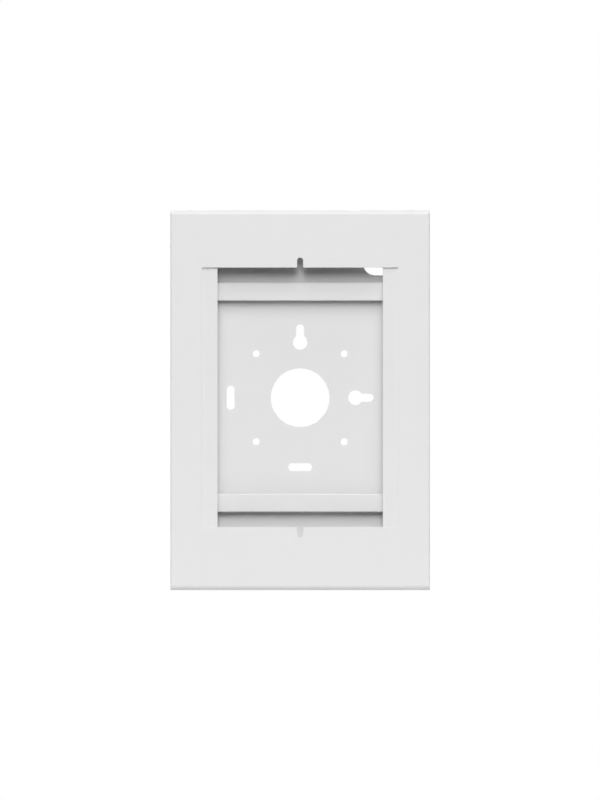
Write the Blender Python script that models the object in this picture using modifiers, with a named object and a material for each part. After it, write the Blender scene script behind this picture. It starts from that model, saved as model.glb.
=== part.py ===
"""Lockable wall mount for a ten inch tablet, upright on the wall.

A folded steel cover with a window hangs by two hooks on a shallow steel wall plate and swings
out at the bottom. Two support bars on the plate stand behind the tablet, two moulded adapters
inside the cover take a narrower tablet, and a cam lock in the bottom edge keeps the cover shut.

Metres. +X is right, +Y points into the wall and +Z is up. The origin lies on the wall, behind
the middle of the cable hole, so every front surface has a negative Y.
"""
import math

import bmesh
import bpy
from mathutils import Matrix, Vector

# Clearance between pieces that seat on each other
SEAT_GAP = 0.0003

# The wide tablet that the window is cut for, and the narrower one that the adapters take,
# with the space behind it that foam strips on the bars fill
WIDE_TABLET_WIDTH = 0.1741
TABLET_WIDTH = 0.1494
TABLET_LENGTH = 0.2452
TABLET_THICKNESS = 0.0075
TABLET_SLACK = 0.0005
BACKING_GAP = 0.0048

# Window: how far the cover laps over the tablet, and the height that all of them centre on
FRAME_CENTRE_Z = 0.00035
WINDOW_SIDE_LAP = 0.00355
WINDOW_END_LAP = 0.01205
WINDOW_CORNER_RADIUS = 0.0005
NOTCH_WIDTH = 0.005
NOTCH_DEPTH = 0.0085
NOTCH_MOUTH_RADIUS = 0.0009

# Cover: one folded sheet with welded corners, open at the back, with a margin round its window
COVER_SIDE_MARGIN = 0.027
COVER_TOP_MARGIN = 0.0491
COVER_BOTTOM_MARGIN = 0.0538
COVER_FRONT = 0.028
COVER_REAR = 0.0015
COVER_SHEET = 0.0015
END_BEND_RADIUS = 0.0042
SIDE_BEND_RADIUS = 0.0013

# Adapters
ADAPTER_LAP = 0.0043
ADAPTER_SIDE_CLEARANCE = 0.005
ADAPTER_LIP_THICKNESS = 0.0018
ADAPTER_WALL = 0.0018
ADAPTER_WALL_SETBACK = 0.0006
ADAPTER_RIM_HEIGHT = 0.005
ADAPTER_ARM_LENGTH = 0.026
ADAPTER_RIB_COUNT = 5
ADAPTER_RIB_THICKNESS = 0.0014
ADAPTER_CORNER_RADIUS = 0.003
ADAPTER_LIP_MARGIN = 0.002

# Weld studs on the back of the cover's face, with a nut each
STUD_DIAMETER = 0.004
STUD_LENGTH = 0.008
STUD_SIDE_INSET = 0.008
STUD_END_INSET = 0.0138
STUD_HOLE_CLEARANCE = 0.0003
STUD_NUT_ACROSS_FLATS = 0.007
STUD_NUT_THICKNESS = 0.0032

# Wall plate: a tray with a low flange on all four sides
PLATE_SHEET = 0.0015
PLATE_FLANGE_DEPTH = 0.012
PLATE_BEND_RADIUS = 0.0022
PLATE_SIDE_CLEARANCE = 0.0025
PLATE_BOTTOM_CLEARANCE = 0.0055
PLATE_CORNER_RELIEF = 0.004
CABLE_HOLE_DIAMETER = 0.050
SCREW_PITCH = 0.075
SCREW_HOLE_DIAMETER = 0.006
KEYHOLE_HEAD_DIAMETER = 0.0124
KEYHOLE_HEAD_OFFSET = 0.0472
KEYHOLE_TRAVEL = 0.0119
KEYHOLE_SLOT_WIDTH = 0.0067
LEVEL_SLOT_LENGTH = 0.0204
LEVEL_SLOT_WIDTH = 0.0067
LEVEL_SLOT_OFFSET = 0.0592
CAMERA_CUTOUT_SIDE_INSET = 0.0148
CAMERA_CUTOUT_WIDTH = 0.038
CAMERA_CUTOUT_BAR_GAP = 0.0061
CAMERA_CUTOUT_HEIGHT = 0.024
CAMERA_CUTOUT_RADIUS = 0.010

# Support bars: channels that bridge the plate on two feet, riveted down
BAR_WIDTH = 0.0156
BAR_END_INSET = 0.0205
BAR_SIDE_CLEARANCE = 0.0015
BAR_SHEET = 0.0008
BAR_LIP_DEPTH = 0.005
BAR_BEND_RADIUS = 0.0009
BAR_FOOT_LENGTH = 0.0115
RIVET_DIAMETER = 0.0032
RIVET_HEAD_DIAMETER = 0.0064
RIVET_HEAD_HEIGHT = 0.0012
RIVET_HOLE_CLEARANCE = 0.0003

# Hooks under the cover's top wall, dropped into slots in the plate's top flange
HOOK_WIDTH = 0.032
HOOK_SIDE_INSET = 0.0505
HOOK_SHEET = 0.0015
HOOK_BEND_RADIUS = 0.002
HOOK_ARM_LENGTH = 0.010
HOOK_DROP = 0.010
HOOK_AXIS_Y = -0.006
HOOK_SLOT_SIDE_CLEARANCE = 0.001
HOOK_SLOT_FRONT_CLEARANCE = 0.0009
HOOK_SLOT_REAR_CLEARANCE = 0.0005

# Cam lock in the cover's bottom wall, its head flush with the outside
LOCK_SIDE_INSET = 0.0485
LOCK_Y = -0.0155
LOCK_HEAD_DIAMETER = 0.015
LOCK_HEAD_CLEARANCE = 0.0003
LOCK_BARREL_DIAMETER = 0.011
LOCK_BARREL_FLATS = 0.0096
LOCK_BARREL_LENGTH = 0.0165
LOCK_PLATE_WIDTH = 0.030
LOCK_PLATE_DEPTH = 0.018
LOCK_PLATE_SHEET = 0.0015
LOCK_NUT_ACROSS_FLATS = 0.014
LOCK_NUT_THICKNESS = 0.003
LOCK_FLANGE_RELIEF = 0.0025
PLUG_DIAMETER = 0.0074
PLUG_CLEARANCE = 0.0003
PLUG_RECESS = 0.0003
KEYWAY_LENGTH = 0.0054
KEYWAY_WIDTH = 0.0013
KEYWAY_DEPTH = 0.006
CAM_DRIVE_WIDTH = 0.0046
CAM_THICKNESS = 0.0018
CAM_LENGTH = 0.0125
CAM_WIDTH = 0.008
CAM_HUB_DIAMETER = 0.0105
CAM_SCREW_DIAMETER = 0.0026
CAM_SCREW_LENGTH = 0.0065
CAM_SCREW_HEAD_DIAMETER = 0.006
CAM_SCREW_HEAD_HEIGHT = 0.002
CAM_WASHER_DIAMETER = 0.009
CAM_WASHER_THICKNESS = 0.0008

# Keeper on the plate, which the turned cam reaches behind
KEEPER_SHEET = 0.0015
KEEPER_HEIGHT = 0.014
KEEPER_CAM_GAP = 0.0008
KEEPER_TIP_GAP = 0.002
KEEPER_LIP_LENGTH = 0.0065
KEEPER_FOOT_LENGTH = 0.012
KEEPER_BEND_RADIUS = 0.002

ROUND_STEPS = 32
BEND_STEPS = 4

# Places that follow from the sizes above
WINDOW_WIDTH = WIDE_TABLET_WIDTH - 2 * WINDOW_SIDE_LAP
WINDOW_HEIGHT = TABLET_LENGTH - 2 * WINDOW_END_LAP
COVER_WIDTH = WINDOW_WIDTH + 2 * COVER_SIDE_MARGIN
COVER_FACE_Y = -COVER_FRONT
COVER_FACE_BACK_Y = COVER_FACE_Y + COVER_SHEET
COVER_TOP_Z = FRAME_CENTRE_Z + WINDOW_HEIGHT / 2 + COVER_TOP_MARGIN
COVER_BOTTOM_Z = FRAME_CENTRE_Z - WINDOW_HEIGHT / 2 - COVER_BOTTOM_MARGIN
COVER_INNER_TOP_Z = COVER_TOP_Z - COVER_SHEET
COVER_INNER_BOTTOM_Z = COVER_BOTTOM_Z + COVER_SHEET
COVER_INNER_X = COVER_WIDTH / 2 - COVER_SHEET
ADAPTER_INNER_X = TABLET_WIDTH / 2 - ADAPTER_LAP
ADAPTER_OUTER_X = COVER_INNER_X - ADAPTER_SIDE_CLEARANCE
STUD_X = ADAPTER_OUTER_X - STUD_SIDE_INSET
STUD_Z = WINDOW_HEIGHT / 2 - STUD_END_INSET
ADAPTER_FRONT_Y = COVER_FACE_BACK_Y + SEAT_GAP
ADAPTER_LIP_BACK_Y = ADAPTER_FRONT_Y + ADAPTER_LIP_THICKNESS
TABLET_BACK_Y = ADAPTER_LIP_BACK_Y + TABLET_THICKNESS
BAR_FACE_Y = TABLET_BACK_Y + BACKING_GAP
PLATE_FRONT_Y = -PLATE_SHEET
PLATE_HALF_WIDTH = COVER_INNER_X - PLATE_SIDE_CLEARANCE
BAR_Z = WINDOW_HEIGHT / 2 - BAR_END_INSET
BAR_HALF_SPAN = PLATE_HALF_WIDTH - PLATE_SHEET - BAR_SIDE_CLEARANCE - BAR_FOOT_LENGTH
CAMERA_CUTOUT_X = PLATE_HALF_WIDTH - CAMERA_CUTOUT_SIDE_INSET - CAMERA_CUTOUT_WIDTH / 2
CAMERA_CUTOUT_Z = (
    FRAME_CENTRE_Z + BAR_Z + BAR_WIDTH / 2 + CAMERA_CUTOUT_BAR_GAP + CAMERA_CUTOUT_HEIGHT / 2
)
PLATE_TOP_Z = COVER_INNER_TOP_Z - 2 * SEAT_GAP - HOOK_SHEET
PLATE_BOTTOM_Z = COVER_INNER_BOTTOM_Z + PLATE_BOTTOM_CLEARANCE
HOOK_AXIS = Vector((0, HOOK_AXIS_Y, PLATE_TOP_Z))
HOOK_X = COVER_WIDTH / 2 - HOOK_SIDE_INSET
LOCK_X = COVER_WIDTH / 2 - LOCK_SIDE_INSET
LOCK_PLATE_Z = COVER_INNER_BOTTOM_Z + SEAT_GAP
LOCK_NUT_Z = LOCK_PLATE_Z + LOCK_PLATE_SHEET + SEAT_GAP
BARREL_TOP_Z = COVER_INNER_BOTTOM_Z + LOCK_BARREL_LENGTH
CAM_Z = BARREL_TOP_Z + SEAT_GAP
CAM_TOP_Z = CAM_Z + CAM_THICKNESS
WASHER_Z = CAM_TOP_Z + SEAT_GAP
CAM_SCREW_Z = WASHER_Z + CAM_WASHER_THICKNESS + SEAT_GAP
LOCK_AXIS = Vector((LOCK_X, LOCK_Y, CAM_Z))


for old in list(bpy.data.objects):
    bpy.data.objects.remove(old, do_unlink=True)

parts = bpy.data.collections.new("tablet_wall_mount")
tools = bpy.data.collections.new("cutters")
bpy.context.scene.collection.children.link(parts)
bpy.context.scene.collection.children.link(tools)


def finish(name, colour, roughness, metallic):
    """A material of one colour."""
    mat = bpy.data.materials.new(name)
    mat.use_nodes = True
    shader = mat.node_tree.nodes["Principled BSDF"]
    shader.inputs["Base Color"].default_value = (*colour, 1)
    shader.inputs["Roughness"].default_value = roughness
    shader.inputs["Metallic"].default_value = metallic
    return mat


powder_white = (0.78, 0.78, 0.78)
moulded_white = (0.77, 0.77, 0.77)
zinc = (0.62, 0.64, 0.66)
nickel = (0.70, 0.69, 0.66)


def place(obj, origin, parent=None):
    """Moves the object's origin to a point in the world and leaves its mesh where it is."""
    origin = Vector(origin)
    obj.data.transform(Matrix.Translation(-origin))
    if parent:
        obj.parent = parent
        origin = origin - parent.matrix_world.translation
    obj.location = origin
    return obj


def add(name, mesh, collection):
    obj = bpy.data.objects.new(name, mesh)
    collection.objects.link(obj)
    if collection is tools:
        obj.hide_render = True
        obj.display_type = "WIRE"
    return obj


def to_mesh(name, bm, collection):
    mesh = bpy.data.meshes.new(name)
    bmesh.ops.recalc_face_normals(bm, faces=bm.faces)
    bm.to_mesh(mesh)
    bm.free()
    return add(name, mesh, collection)


def box(name, low, high, collection=tools):
    """A box between two corners."""
    bm = bmesh.new()
    bmesh.ops.create_cube(bm, size=1)
    low = Vector(low)
    size = Vector(high) - low
    bmesh.ops.scale(bm, vec=size, verts=bm.verts)
    bmesh.ops.translate(bm, vec=low + size / 2, verts=bm.verts)
    return to_mesh(name, bm, collection)


def rod(name, diameter, start, end, collection=tools, steps=ROUND_STEPS, turn=0.0):
    """A cylinder, or a prism where steps is small, from one point on its axis to another."""
    start = Vector(start)
    along = Vector(end) - start
    bm = bmesh.new()
    bmesh.ops.create_cone(
        bm,
        cap_ends=True,
        segments=steps,
        radius1=diameter / 2,
        radius2=diameter / 2,
        depth=along.length,
    )
    spin = Matrix.Rotation(turn, 4, "Z")
    aim = along.to_track_quat("Z", "Y").to_matrix().to_4x4()
    bmesh.ops.transform(
        bm, matrix=Matrix.Translation(start + along / 2) @ aim @ spin, verts=bm.verts
    )
    return to_mesh(name, bm, collection)


# Each way an outline can be drawn: its own two axes, then the axis it is extruded along
DRAWN = {
    "front": Matrix(((1, 0, 0, 0), (0, 0, -1, 0), (0, 1, 0, 0), (0, 0, 0, 1))),
    "plan": Matrix.Identity(4),
}


def prism(name, outline, start, end, view="front", collection=tools):
    """A flat outline as thick as the way from start to end, across the view."""
    curve = bpy.data.curves.new(name, "CURVE")
    curve.dimensions = "2D"
    curve.fill_mode = "BOTH"
    curve.extrude = abs(end - start) / 2
    spline = curve.splines.new("POLY")
    spline.points.add(len(outline) - 1)
    for point, (u, v) in zip(spline.points, outline):
        point.co = (u, v, 0, 1)
    spline.use_cyclic_u = True
    drawn = bpy.data.objects.new(name + "_outline", curve)
    middle = (start + end) / 2
    shift = Vector((0, middle, 0)) if view == "front" else Vector((0, 0, middle))
    drawn.matrix_world = Matrix.Translation(shift) @ DRAWN[view]
    tools.objects.link(drawn)
    bpy.context.view_layer.update()
    depsgraph = bpy.context.evaluated_depsgraph_get()
    mesh = bpy.data.meshes.new_from_object(drawn.evaluated_get(depsgraph))
    mesh.transform(drawn.matrix_world)
    bpy.data.objects.remove(drawn, do_unlink=True)
    bpy.data.curves.remove(curve)
    bm = bmesh.new()
    bm.from_mesh(mesh)
    bmesh.ops.remove_doubles(bm, verts=bm.verts, dist=0.000001)
    bpy.data.meshes.remove(mesh)
    return to_mesh(name, bm, collection)


def folded(name, path, sheet, radius, low, high, across="x", collection=tools):
    """Sheet metal: an open path of fold lines along the sheet's middle, swept from low to high.

    The path is in (Y, Z) where it is swept along X, and in (X, Y) where it is swept along Z.
    """
    bm = bmesh.new()
    if across == "x":
        rows = [Vector((low, u, v)) for u, v in path]
        way = Vector((high - low, 0, 0))
    else:
        rows = [Vector((u, v, low)) for u, v in path]
        way = Vector((0, 0, high - low))
    verts = [bm.verts.new(p) for p in rows]
    edges = [bm.edges.new(pair) for pair in zip(verts, verts[1:])]
    swept = bmesh.ops.extrude_edge_only(bm, edges=edges)["geom"]
    bmesh.ops.translate(
        bm, vec=way, verts=[g for g in swept if isinstance(g, bmesh.types.BMVert)]
    )
    folds = [e for e in bm.edges if len(e.link_faces) == 2]
    bmesh.ops.bevel(
        bm,
        geom=folds,
        offset=radius - sheet / 2,
        segments=BEND_STEPS,
        profile=0.5,
        affect="EDGES",
        offset_type="OFFSET",
    )
    obj = to_mesh(name, bm, collection)
    solid = obj.modifiers.new("sheet", "SOLIDIFY")
    solid.thickness = sheet
    solid.offset = 0
    solid.use_even_offset = True
    return obj


def boolean(obj, other, operation):
    mod = obj.modifiers.new(other.name, "BOOLEAN")
    mod.operation = operation
    mod.solver = "EXACT"
    mod.object = other
    return mod


def cut(obj, *others):
    for other in others:
        boolean(obj, other, "DIFFERENCE")


def join(obj, *others):
    for other in others:
        boolean(obj, other, "UNION")


def dress(obj, mat, angle=35):
    """Gives a piece its material and shades it smooth between its edges."""
    obj.data.materials.append(mat)
    obj.data.shade_smooth()
    obj.data.set_sharp_from_angle(angle=math.radians(angle))
    return obj


def arc(cx, cy, radius, start, end, steps):
    """Points on an arc, angles in degrees, both ends included."""
    turn = [math.radians(start + (end - start) * i / steps) for i in range(steps + 1)]
    return [(cx + radius * math.cos(t), cy + radius * math.sin(t)) for t in turn]


def rounded_rectangle(cx, cy, width, height, radius, steps=8):
    dx = width / 2 - radius
    dy = height / 2 - radius
    return (
        arc(cx + dx, cy + dy, radius, 0, 90, steps)
        + arc(cx - dx, cy + dy, radius, 90, 180, steps)
        + arc(cx - dx, cy - dy, radius, 180, 270, steps)
        + arc(cx + dx, cy - dy, radius, 270, 360, steps)
    )


def turned_outline(outline, degrees):
    """An outline turned about the origin."""
    c = math.cos(math.radians(degrees))
    s = math.sin(math.radians(degrees))
    return [(c * x - s * y, s * x + c * y) for x, y in outline]


def keyhole_outline():
    """A keyhole above the origin with its slot pointing up."""
    head = KEYHOLE_HEAD_DIAMETER / 2
    half = KEYHOLE_SLOT_WIDTH / 2
    meets = math.degrees(math.acos(half / head))
    low = KEYHOLE_HEAD_OFFSET
    return arc(0, low, head, 180 - meets, 360 + meets, 24) + arc(
        0, low + KEYHOLE_TRAVEL, half, 0, 180, 12
    )


def window_outline():
    """The window, with a round-ended camera notch in the middle of its top and bottom edges."""
    half = NOTCH_WIDTH / 2
    mouth = NOTCH_MOUTH_RADIUS
    edge = WINDOW_HEIGHT / 2
    right = WINDOW_WIDTH / 2 - WINDOW_CORNER_RADIUS
    corner = edge - WINDOW_CORNER_RADIUS
    top = (
        arc(right, corner, WINDOW_CORNER_RADIUS, 0, 90, 2)
        + arc(half + mouth, edge + mouth, mouth, 270, 180, 4)
        + arc(0, edge + NOTCH_DEPTH - half, half, 0, 180, 16)
        + arc(-half - mouth, edge + mouth, mouth, 0, -90, 4)
        + arc(-right, corner, WINDOW_CORNER_RADIUS, 90, 180, 2)
    )
    bottom = [(-x, -y) for x, y in top]
    return [(x, y + FRAME_CENTRE_Z) for x, y in top + bottom]


def flatted_circle(diameter, flats, steps=12):
    """A circle with two flats, square to X."""
    radius = diameter / 2
    meets = math.degrees(math.acos(flats / diameter))
    return arc(0, 0, radius, meets, 180 - meets, steps) + arc(
        0, 0, radius, 180 + meets, 360 - meets, steps
    )


def shifted(outline, dx, dy):
    return [(x + dx, y + dy) for x, y in outline]


def rounded_tray(name, low, high, end_radius, side_radius, collection):
    """A block whose front edges are rounded: along the top and bottom, then down both sides."""
    bm = bmesh.new()
    bmesh.ops.create_cube(bm, size=1)
    low = Vector(low)
    size = Vector(high) - low
    bmesh.ops.scale(bm, vec=size, verts=bm.verts)
    bmesh.ops.translate(bm, vec=low + size / 2, verts=bm.verts)
    hair = 0.00001

    def at_front(vert):
        return vert.co.y < low.y + hair

    ends = [
        e
        for e in bm.edges
        if all(at_front(v) for v in e.verts)
        and abs(e.verts[0].co.z - e.verts[1].co.z) < hair
    ]
    bmesh.ops.bevel(
        bm,
        geom=ends,
        offset=end_radius,
        segments=BEND_STEPS + 2,
        profile=0.5,
        affect="EDGES",
        offset_type="OFFSET",
    )
    if side_radius:
        back = low.y + size.y - hair
        rims = [
            e
            for f in bm.faces
            if abs(f.normal.x) > 0.999
            for e in f.edges
            if not all(v.co.y > back for v in e.verts)
        ]
        bmesh.ops.bevel(
            bm,
            geom=rims,
            offset=side_radius,
            segments=2,
            profile=0.5,
            affect="EDGES",
            offset_type="OFFSET",
        )
    return to_mesh(name, bm, collection)


# The two points that turn: the hook line that the cover swings on, and the lock's axis
cover_hinge = bpy.data.objects.new("cover_hinge_line", None)
cover_hinge.location = HOOK_AXIS
parts.objects.link(cover_hinge)
lock_axis = bpy.data.objects.new("lock_turning_line", None)
lock_axis.parent = cover_hinge
lock_axis.location = LOCK_AXIS - HOOK_AXIS
parts.objects.link(lock_axis)
bpy.context.view_layer.update()


# Front cover
half_cover = COVER_WIDTH / 2
cover = rounded_tray(
    "front_cover",
    (-half_cover, COVER_FACE_Y, COVER_BOTTOM_Z),
    (half_cover, -COVER_REAR, COVER_TOP_Z),
    END_BEND_RADIUS,
    SIDE_BEND_RADIUS,
    parts,
)
cavity = rounded_tray(
    "cover_cavity",
    (-COVER_INNER_X, COVER_FACE_BACK_Y, COVER_INNER_BOTTOM_Z),
    (COVER_INNER_X, COVER_FRONT, COVER_INNER_TOP_Z),
    END_BEND_RADIUS - COVER_SHEET,
    0,
    tools,
)
window = prism(
    "cover_window",
    window_outline(),
    COVER_FACE_Y - COVER_SHEET,
    COVER_FACE_BACK_Y + COVER_SHEET,
)
lock_opening = rod(
    "lock_opening",
    LOCK_HEAD_DIAMETER + 2 * LOCK_HEAD_CLEARANCE,
    (LOCK_X, LOCK_Y, COVER_BOTTOM_Z - COVER_SHEET),
    (LOCK_X, LOCK_Y, COVER_INNER_BOTTOM_Z + COVER_SHEET),
)
cut(cover, cavity, window, lock_opening)
STUDS = [
    (across, x, updown, z)
    for across, x in (("left", -STUD_X), ("right", STUD_X))
    for updown, z in (("lower", -STUD_Z), ("upper", STUD_Z))
]
for across, x, updown, z in STUDS:
    stud = rod(
        f"weld_stud_{updown}_{across}",
        STUD_DIAMETER,
        (x, COVER_FACE_BACK_Y - COVER_SHEET / 2, FRAME_CENTRE_Z + z),
        (x, COVER_FACE_BACK_Y + STUD_LENGTH, FRAME_CENTRE_Z + z),
        steps=16,
    )
    join(cover, stud)
place(cover, HOOK_AXIS, cover_hinge)
dress(cover, finish("cover_powder_coat", powder_white, 0.5, 0.0))

# Hooks: an arm under the cover's top wall and a leg that drops through the plate's flange
arm_z = COVER_INNER_TOP_Z - SEAT_GAP - HOOK_SHEET / 2
HOOKS = (("left", -HOOK_X), ("right", HOOK_X))
for side, x in HOOKS:
    hook = folded(
        f"{side}_hook",
        [
            (HOOK_AXIS_Y - HOOK_ARM_LENGTH, arm_z),
            (HOOK_AXIS_Y, arm_z),
            (HOOK_AXIS_Y, PLATE_TOP_Z - HOOK_DROP),
        ],
        HOOK_SHEET,
        HOOK_BEND_RADIUS,
        x - HOOK_WIDTH / 2,
        x + HOOK_WIDTH / 2,
        collection=parts,
    )
    place(hook, (x, HOOK_AXIS_Y, PLATE_TOP_Z), cover_hinge)
    dress(hook, finish(f"{side}_hook_powder_coat", powder_white, 0.5, 0.0))


# Adapters: a lip in the window's side, a wall that locates the tablet, and ribs behind the lip
def side_box(name, side, xs, ys, zs):
    """A box on one side, from its distances to the middle plane."""
    x = sorted(side * v for v in xs)
    return box(name, (x[0], ys[0], zs[0]), (x[1], ys[1], zs[1]))


def adapter(name, side):
    """The adapter on one side, +1 for the right and -1 for the left."""
    inner = ADAPTER_INNER_X
    wall = TABLET_WIDTH / 2 + TABLET_SLACK
    outer = ADAPTER_OUTER_X
    stop = TABLET_LENGTH / 2 + TABLET_SLACK
    arm = wall - ADAPTER_ARM_LENGTH
    end = stop + ADAPTER_WALL
    lip_end = end + ADAPTER_LIP_MARGIN
    shoulder = (stop + WINDOW_HEIGHT / 2) / 2
    radius = ADAPTER_CORNER_RADIUS
    rear = TABLET_BACK_Y - ADAPTER_WALL_SETBACK
    inside_lip = (ADAPTER_FRONT_Y + ADAPTER_LIP_BACK_Y) / 2
    rib_rear = ADAPTER_LIP_BACK_Y + ADAPTER_RIM_HEIGHT

    def both_ends(points):
        whole = points + [(x, -z) for x, z in points[::-1]]
        return [(side * x, z + FRAME_CENTRE_Z) for x, z in whole]

    lip = both_ends(
        [(inner, shoulder), (arm, shoulder), (arm, lip_end)]
        + arc(outer - radius, lip_end - radius, radius, 90, 0, 5)
    )
    body = prism(name, lip, ADAPTER_FRONT_Y, ADAPTER_LIP_BACK_Y, collection=parts)
    fence = prism(
        f"{name}_fence",
        both_ends([(wall, stop), (arm, stop), (arm, end), (wall + ADAPTER_WALL, end)]),
        inside_lip,
        rear,
    )
    rim = side_box(
        f"{name}_rim",
        side,
        (outer - ADAPTER_LIP_MARGIN - ADAPTER_WALL, outer - ADAPTER_LIP_MARGIN),
        (inside_lip, rib_rear),
        (FRAME_CENTRE_Z - end, FRAME_CENTRE_Z + end),
    )
    join(body, fence, rim)
    rib_pitch = 2 * STUD_Z / (ADAPTER_RIB_COUNT + 1)
    for i in range(ADAPTER_RIB_COUNT):
        z = FRAME_CENTRE_Z - STUD_Z + (i + 1) * rib_pitch
        rib = side_box(
            f"{name}_rib_{i + 1}",
            side,
            (wall + ADAPTER_WALL / 2, outer - ADAPTER_LIP_MARGIN - ADAPTER_WALL / 2),
            (inside_lip, rib_rear - SEAT_GAP),
            (z - ADAPTER_RIB_THICKNESS / 2, z + ADAPTER_RIB_THICKNESS / 2),
        )
        join(body, rib)
    for updown, z in (("lower", -STUD_Z), ("upper", STUD_Z)):
        x = side * STUD_X
        hole = rod(
            f"{name}_{updown}_hole",
            STUD_DIAMETER + 2 * STUD_HOLE_CLEARANCE,
            (x, ADAPTER_FRONT_Y - ADAPTER_LIP_THICKNESS, FRAME_CENTRE_Z + z),
            (x, ADAPTER_LIP_BACK_Y + ADAPTER_LIP_THICKNESS, FRAME_CENTRE_Z + z),
            steps=24,
        )
        cut(body, hole)
    place(body, (side * (inner + outer) / 2, ADAPTER_FRONT_Y, FRAME_CENTRE_Z), cover_hinge)
    return dress(body, finish(f"{name}_plastic", moulded_white, 0.6, 0.0))


adapter("left_adapter", -1)
adapter("right_adapter", 1)


def drilled(name, diameter, bore, low, high, steps, turn=0.0, collection=parts):
    """A nut or a washer: a rod or a prism with a hole along its axis."""
    low = Vector(low)
    high = Vector(high)
    ring = rod(name, diameter, low, high, collection, steps, turn)
    reach = (high - low) / 2
    hole = rod(f"{name}_bore", bore, low - reach, high + reach, steps=24)
    cut(ring, hole)
    return ring


def across_flats(width):
    """The diameter across the corners of a hexagon of this width across its flats."""
    return width / math.cos(math.radians(30))


for across, x, updown, z in STUDS:
    seat = Vector((x, ADAPTER_LIP_BACK_Y + SEAT_GAP, FRAME_CENTRE_Z + z))
    nut = drilled(
        f"adapter_nut_{updown}_{across}",
        across_flats(STUD_NUT_ACROSS_FLATS),
        STUD_DIAMETER + 2 * STUD_HOLE_CLEARANCE,
        seat,
        seat + Vector((0, STUD_NUT_THICKNESS, 0)),
        6,
    )
    place(nut, seat, cover_hinge)
    dress(nut, finish(f"adapter_nut_{updown}_{across}_zinc", zinc, 0.35, 0.9))

# Lock: a doubler inside the bottom wall, and a flatted barrel through it with its nut
lock_spot = (LOCK_X, LOCK_Y)
lock_plate = prism(
    "lock_plate",
    shifted(
        rounded_rectangle(0, 0, LOCK_PLATE_WIDTH, LOCK_PLATE_DEPTH, 0.002, 3), *lock_spot
    ),
    LOCK_PLATE_Z,
    LOCK_PLATE_Z + LOCK_PLATE_SHEET,
    "plan",
    parts,
)
barrel_hole = prism(
    "lock_plate_hole",
    shifted(
        flatted_circle(
            LOCK_BARREL_DIAMETER + 2 * LOCK_HEAD_CLEARANCE,
            LOCK_BARREL_FLATS + 2 * LOCK_HEAD_CLEARANCE,
        ),
        *lock_spot,
    ),
    LOCK_PLATE_Z - LOCK_PLATE_SHEET,
    LOCK_PLATE_Z + 2 * LOCK_PLATE_SHEET,
    "plan",
)
cut(lock_plate, barrel_hole)
place(lock_plate, (LOCK_X, LOCK_Y, LOCK_PLATE_Z), cover_hinge)
dress(lock_plate, finish("lock_plate_powder_coat", powder_white, 0.5, 0.0))

housing = rod(
    "lock_housing",
    LOCK_HEAD_DIAMETER,
    (LOCK_X, LOCK_Y, COVER_BOTTOM_Z),
    (LOCK_X, LOCK_Y, COVER_INNER_BOTTOM_Z),
    parts,
    40,
)
barrel = prism(
    "lock_barrel",
    shifted(flatted_circle(LOCK_BARREL_DIAMETER, LOCK_BARREL_FLATS), *lock_spot),
    (COVER_BOTTOM_Z + COVER_INNER_BOTTOM_Z) / 2,
    BARREL_TOP_Z,
    "plan",
)
plug_bore = rod(
    "lock_bore",
    PLUG_DIAMETER + 2 * PLUG_CLEARANCE,
    (LOCK_X, LOCK_Y, COVER_BOTTOM_Z - COVER_SHEET),
    (LOCK_X, LOCK_Y, BARREL_TOP_Z + COVER_SHEET),
)
join(housing, barrel)
cut(housing, plug_bore)
place(housing, (LOCK_X, LOCK_Y, COVER_BOTTOM_Z), cover_hinge)
dress(housing, finish("lock_housing_nickel", nickel, 0.25, 1.0))

nut_seat = Vector((LOCK_X, LOCK_Y, LOCK_NUT_Z))
lock_nut = drilled(
    "lock_nut",
    across_flats(LOCK_NUT_ACROSS_FLATS),
    LOCK_BARREL_DIAMETER + 2 * STUD_HOLE_CLEARANCE,
    nut_seat,
    nut_seat + Vector((0, 0, LOCK_NUT_THICKNESS)),
    6,
)
place(lock_nut, nut_seat, cover_hinge)
dress(lock_nut, finish("lock_nut_zinc", zinc, 0.35, 0.9))

# Plug with its keyway, the square that drives the cam, and the bore for the cam's screw
plug = rod(
    "lock_plug",
    PLUG_DIAMETER,
    (LOCK_X, LOCK_Y, COVER_BOTTOM_Z + PLUG_RECESS),
    (LOCK_X, LOCK_Y, BARREL_TOP_Z),
    parts,
)
half_drive = CAM_DRIVE_WIDTH / 2
drive = box(
    "plug_drive",
    (LOCK_X - half_drive, LOCK_Y - half_drive, BARREL_TOP_Z - CAM_THICKNESS),
    (LOCK_X + half_drive, LOCK_Y + half_drive, CAM_TOP_Z),
)
keyway = box(
    "plug_keyway",
    (LOCK_X - KEYWAY_WIDTH / 2, LOCK_Y - KEYWAY_LENGTH / 2, COVER_BOTTOM_Z - PLUG_RECESS),
    (LOCK_X + KEYWAY_WIDTH / 2, LOCK_Y + KEYWAY_LENGTH / 2, COVER_BOTTOM_Z + KEYWAY_DEPTH),
)
screw_bore = rod(
    "plug_screw_bore",
    CAM_SCREW_DIAMETER + 2 * PLUG_CLEARANCE,
    (LOCK_X, LOCK_Y, CAM_SCREW_Z - CAM_SCREW_LENGTH - SEAT_GAP),
    (LOCK_X, LOCK_Y, CAM_TOP_Z + CAM_THICKNESS),
    steps=20,
)
join(plug, drive)
cut(plug, keyway, screw_bore)
place(plug, LOCK_AXIS, lock_axis)
dress(plug, finish("lock_plug_nickel", nickel, 0.3, 1.0))

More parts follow.
